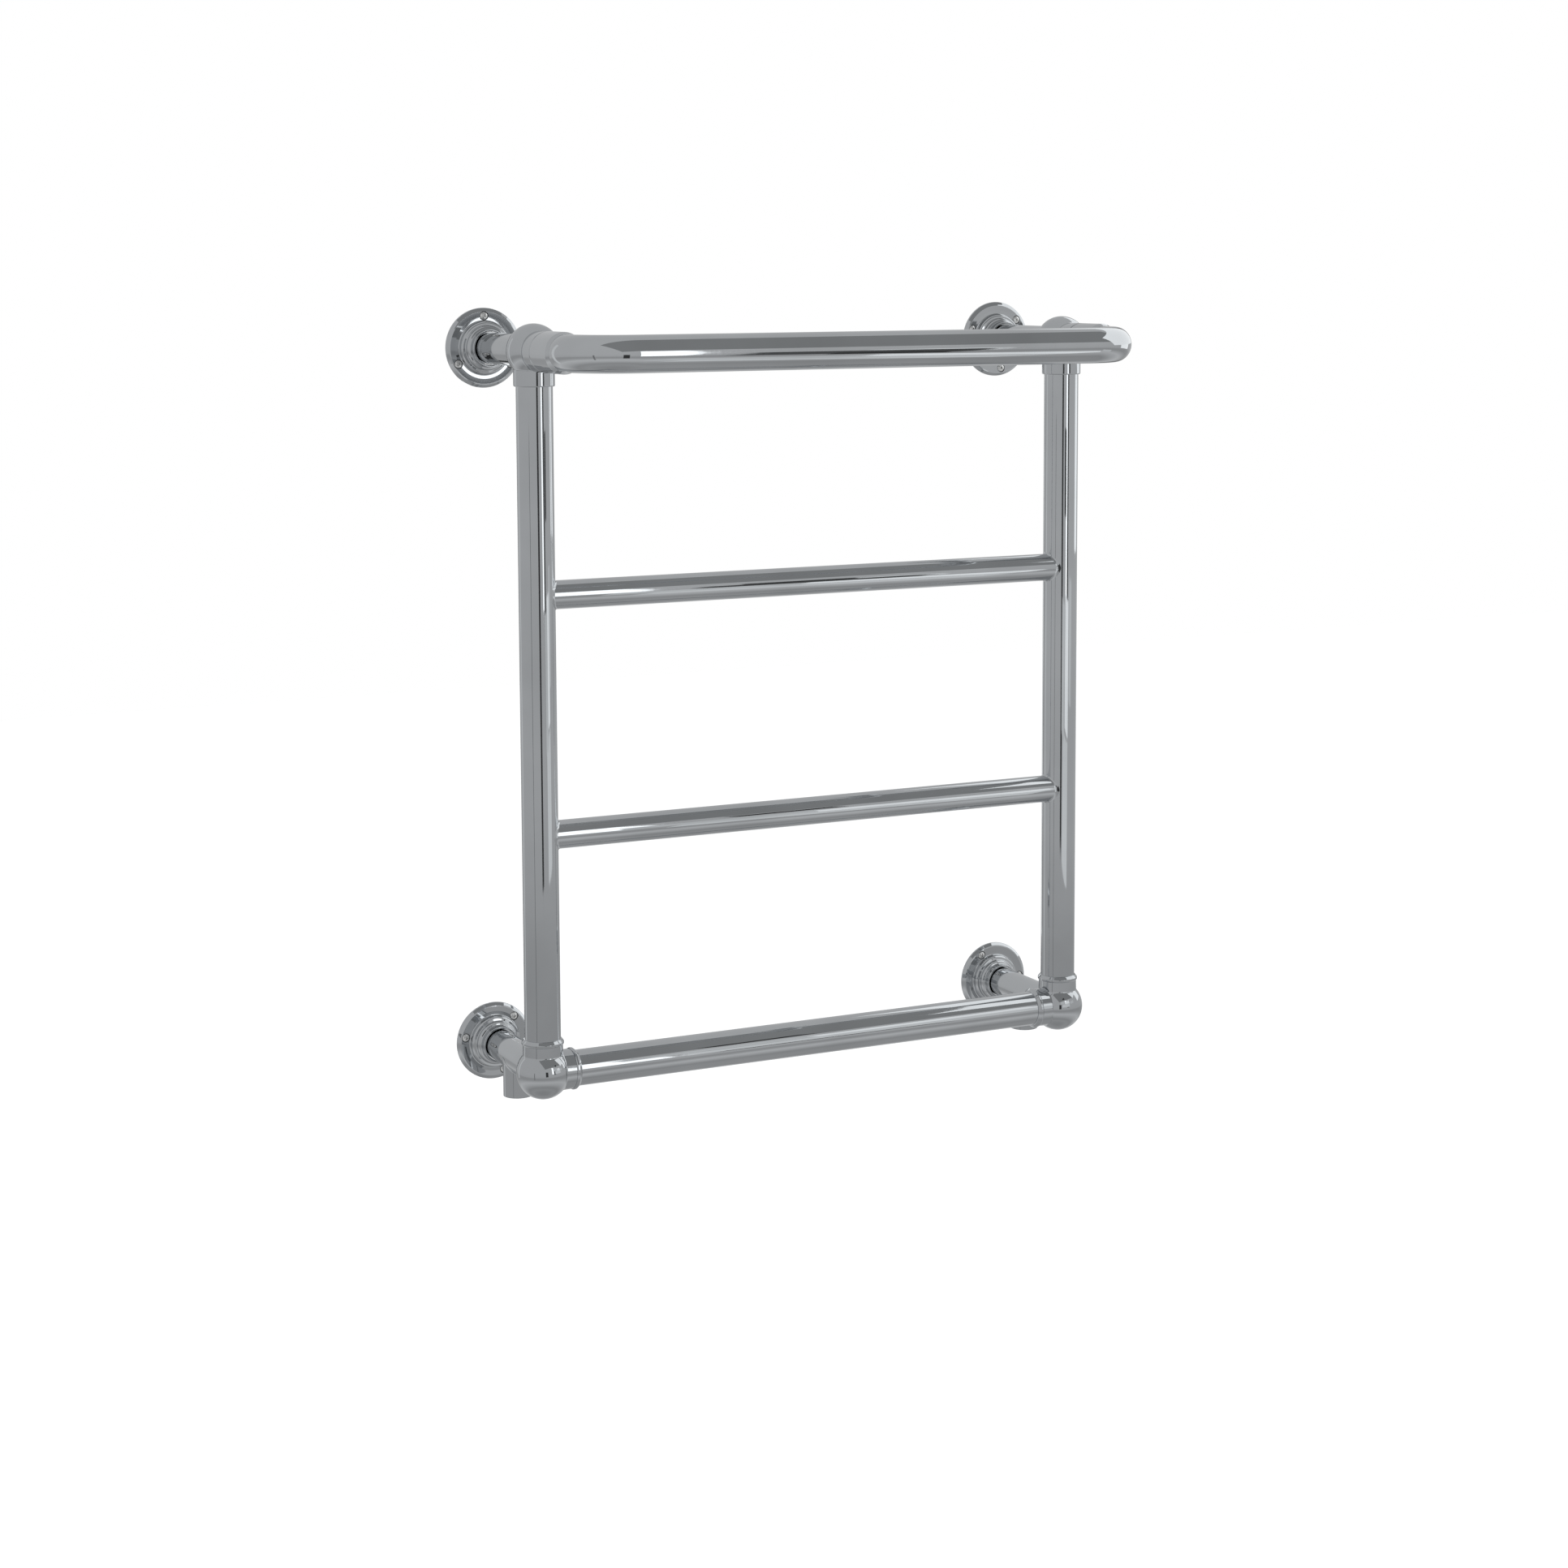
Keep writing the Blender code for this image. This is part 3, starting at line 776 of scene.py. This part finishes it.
def glow_material(name, colour, strength):
    material = bpy.data.materials.new(name)
    material.use_nodes = True
    nodes = material.node_tree.nodes
    nodes.clear()
    glow = nodes.new("ShaderNodeEmission")
    glow.inputs["Color"].default_value = (*colour, 1)
    glow.inputs["Strength"].default_value = strength
    output = nodes.new("ShaderNodeOutputMaterial")
    material.node_tree.links.new(glow.outputs["Emission"], output.inputs["Surface"])
    return material


def card(name, turn, lift, value, distance=3.0):
    """A studio panel seen only in reflections, spanning two turns to the right and two lifts."""
    mid_turn, mid_lift = sum(turn) / 2, sum(lift) / 2
    half_w = distance * math.tan(math.radians(turn[1] - turn[0]) / 2)
    half_h = distance * math.tan(math.radians(lift[1] - lift[0]) / 2)
    corners = [
        (-half_w, -half_h, 0),
        (half_w, -half_h, 0),
        (half_w, half_h, 0),
        (-half_w, half_h, 0),
    ]
    mesh = mesh_from(name, corners, [(0, 1, 2, 3)])
    obj = bpy.data.objects.new(name, mesh)
    mesh.materials.append(glow_material(name, (0.97, 0.99, 1.0), value))
    bpy.context.scene.collection.objects.link(obj)
    centre = Vector((0, POST_Y, 0))
    level = math.cos(math.radians(mid_lift))
    away = Vector(
        (
            level * math.sin(math.radians(mid_turn)),
            -level * math.cos(math.radians(mid_turn)),
            math.sin(math.radians(mid_lift)),
        )
    )
    obj.location = centre + distance * away
    obj.rotation_euler = (-away).to_track_quat("Z", "Y").to_euler()
    for ray in ("visible_camera", "visible_shadow", "visible_diffuse"):
        setattr(obj, ray, False)


# Studio panels round the rack, seen from the middle between the posts. Each has its turns to the
# right of straight ahead and its lifts, both in degrees, then brightness and distance in metres.
CARDS = {
    "ceiling_flag": ((-18, 62), (24, 84), 0.285, 3.0),
    "window": ((12.5, 20.5), (-5, 21), 1.9, 3.4),
    "second_window": ((26.5, 31.5), (-3, 8), 0.85, 3.3),
    "operator_flag": ((-16, -6), (-15, 5), 0.05, 3.0),
    "right_flag": ((22, 31), (-9.5, 5), 0.10, 3.05),
    "near_flag": ((19.7, 30), (7.9, 16.2), 0.05, 0.86),
    "near_sheet_left": ((7.3, 26), (-13.1, 0), 0.70, 0.814),
    "near_sheet_middle": ((26, 45.7), (-11.2, 0), 1.1, 0.963),
    "near_sheet_right": ((45.7, 61.4), (-8.2, 0), 0.70, 1.314),
    "near_sheet_low": ((14.4, 45.7), (-24.5, -11.9), 0.80, 0.9),
    "right_softbox": ((80, 106), (-2, 40), 1.3, 2.6),
    "end_softbox": ((62, 125), (13, 50), 1.2, 1.6),
    "left_pole": ((-62, -59.3), (-24, 1), 0.22, 4.0),
    "back_window": ((170, 177), (-18, 14), 1.4, 3.0),
    "back_flag": ((182, 188), (-18, 14), 0.06, 3.0),
    "back_softbox": ((-146, -138), (-24, 30), 0.72, 3.0),
    "back_post": ((133, 138), (-24, 30), 0.20, 3.0),
}


BACKDROP_RADIUS = 14
FLOOR_HALF = 9
FLOOR_Z = -1.35
# The world's brightness by the height of a direction, from 0 straight down to 1 straight up: dim
# underfoot, a paler band well below the horizon, a darker one above it, then an even grey.
WORLD_STOPS = [
    (0.0, 0.34),
    (0.047, 0.40),
    (0.0955, 0.36),
    (0.165, 0.52),
    (0.235, 0.62),
    (0.329, 0.40),
    (0.379, 0.40),
    (0.413, 0.51),
    (0.5, 0.54),
    (1.0, 0.55),
]


def stage():
    """The studio round the rack: panels, white backdrop, pale floor, graded world and key light."""
    target = Vector((0, POST_Y, 0))
    for name, (turn, lift, value, distance) in CARDS.items():
        card(name, turn, lift, value, distance)

    backdrop_mesh = sphere("backdrop", Vector((0, 0, 0)), BACKDROP_RADIUS)
    backdrop = bpy.data.objects.new("backdrop", backdrop_mesh)
    backdrop_mesh.materials.append(glow_material("backdrop_white", (1, 1, 1), 1.0))
    bpy.context.scene.collection.objects.link(backdrop)
    for ray in ("diffuse", "glossy", "transmission", "shadow", "volume_scatter"):
        setattr(backdrop, f"visible_{ray}", False)

    half = FLOOR_HALF
    corners = [(-half, -half, 0), (half, -half, 0), (half, half, 0), (-half, half, 0)]
    floor_mesh = mesh_from("floor", corners, [(0, 1, 2, 3)])
    floor = bpy.data.objects.new("floor", floor_mesh)
    floor.location.z = FLOOR_Z
    shader = Shader("pale_floor")
    shader.principled.inputs["Roughness"].default_value = 0.9
    dark, pale = (0.86, 0.86, 0.86), (0.88, 0.88, 0.88)
    shade = shader.ramp(shader.noise(0.8, 2), [(0.3, dark), (0.7, pale)])
    shader.set("Base Color", shade)
    shader.principled.inputs["Emission Color"].default_value = (1, 1, 1, 1)
    shader.principled.inputs["Emission Strength"].default_value = 0.55
    floor_mesh.materials.append(shader.material)
    floor.visible_glossy = False
    bpy.context.scene.collection.objects.link(floor)

    world = bpy.data.worlds.new("studio")
    bpy.context.scene.world = world
    world.use_nodes = True
    nodes = world.node_tree.nodes
    links = world.node_tree.links
    background = nodes["Background"]
    place = nodes.new("ShaderNodeTexCoord").outputs["Generated"]
    split = nodes.new("ShaderNodeSeparateXYZ")
    links.new(place, split.inputs["Vector"])
    ramp = nodes.new("ShaderNodeValToRGB")
    shift = nodes.new("ShaderNodeMapRange")
    shift.inputs["From Min"].default_value = -1
    shift.inputs["From Max"].default_value = 1
    links.new(split.outputs["Z"], shift.inputs["Value"])
    links.new(shift.outputs["Result"], ramp.inputs["Fac"])
    elements = ramp.color_ramp.elements
    while len(elements) < len(WORLD_STOPS):
        elements.new(0.5)
    for element, (position, value) in zip(elements, WORLD_STOPS):
        element.position = position
        element.color = (value, value * 1.01, value * 1.02, 1)
    links.new(ramp.outputs["Color"], background.inputs["Color"])
    background.inputs["Strength"].default_value = 1.0

    key = bpy.data.lights.new("soft_key", "AREA")
    key.shape = "RECTANGLE"
    key.size, key.size_y = 2.0, 2.0
    key.energy = 60
    key_object = bpy.data.objects.new("soft_key", key)
    key_object.location = (-1.6, -2.0, 2.6)
    facing = target - Vector(key_object.location)
    key_object.rotation_euler = facing.to_track_quat("-Z", "Y").to_euler()
    key_object.visible_camera = False
    key_object.visible_glossy = False
    bpy.context.scene.collection.objects.link(key_object)


CAMERA_PLACE = (-1.4455, -3.0198, 0.4690)
CAMERA_TURN = -26.217
CAMERA_PITCH = 6.383
CAMERA_ROLL = -0.228
LENS_MM = 68.89
SENSOR_MM = 36
LENS_SHIFT = -0.12


def camera():
    """The camera, fitted to the photo's outlines. Turn, downward pitch and roll are in degrees."""
    data = bpy.data.cameras.new("camera")
    data.sensor_width = SENSOR_MM
    data.lens = LENS_MM
    data.shift_y = LENS_SHIFT
    data.clip_end = 60
    obj = bpy.data.objects.new("camera", data)
    obj.location = CAMERA_PLACE
    turn = Matrix.Rotation(math.radians(CAMERA_TURN), 3, "Z")
    pitch = Matrix.Rotation(math.radians(90 - CAMERA_PITCH), 3, "X")
    roll = Matrix.Rotation(math.radians(CAMERA_ROLL), 3, "Z")
    obj.rotation_euler = (turn @ pitch @ roll).to_euler()
    bpy.context.scene.collection.objects.link(obj)
    bpy.context.scene.camera = obj


ball_joints()
posts()
crossbars()
bottom_rail()
top_rail()
ferrules()
upper_arms()
lower_arms()
flanges()
vent()
carried_over()
stage()
camera()
bpy.context.scene.view_settings.view_transform = "Standard"
